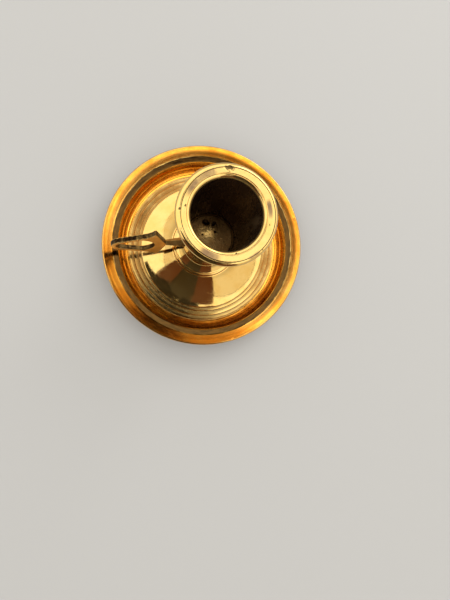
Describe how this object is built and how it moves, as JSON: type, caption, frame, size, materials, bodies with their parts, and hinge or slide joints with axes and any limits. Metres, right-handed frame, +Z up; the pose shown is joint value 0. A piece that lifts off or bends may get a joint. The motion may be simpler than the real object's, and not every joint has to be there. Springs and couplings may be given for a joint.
{
  "type": "chamberstick candle holder",
  "caption": "Round drip pan with three low steps and a flared centre, a tall flanged candle socket on a waisted stem and a flat finger ring on a short arm.",
  "frame": {"origin": "middle of the base, on the table", "axes": "+Z up along the stem, the finger ring points along -X, +Y completes a right-handed frame"},
  "size_m": [0.0852, 0.0852, 0.072],
  "materials": {
    "polished_brass": "hand-polished yellow brass with light wipe marks and small pits",
    "cast_brass": "sand-cast brass, rough and brown in its hollows, filed bright on its faces",
    "plated_steel": "dull zinc plate"
  },
  "bodies": {
    "root": {"drip_pan": "polished_brass", "candle_socket": "polished_brass", "rim_collar": "polished_brass", "socket_plug": "cast_brass", "finger_handle": "cast_brass", "centre_stud": "plated_steel", "centre_washer": "plated_steel", "centre_nut": "plated_steel"}
  },
  "joints": []
}
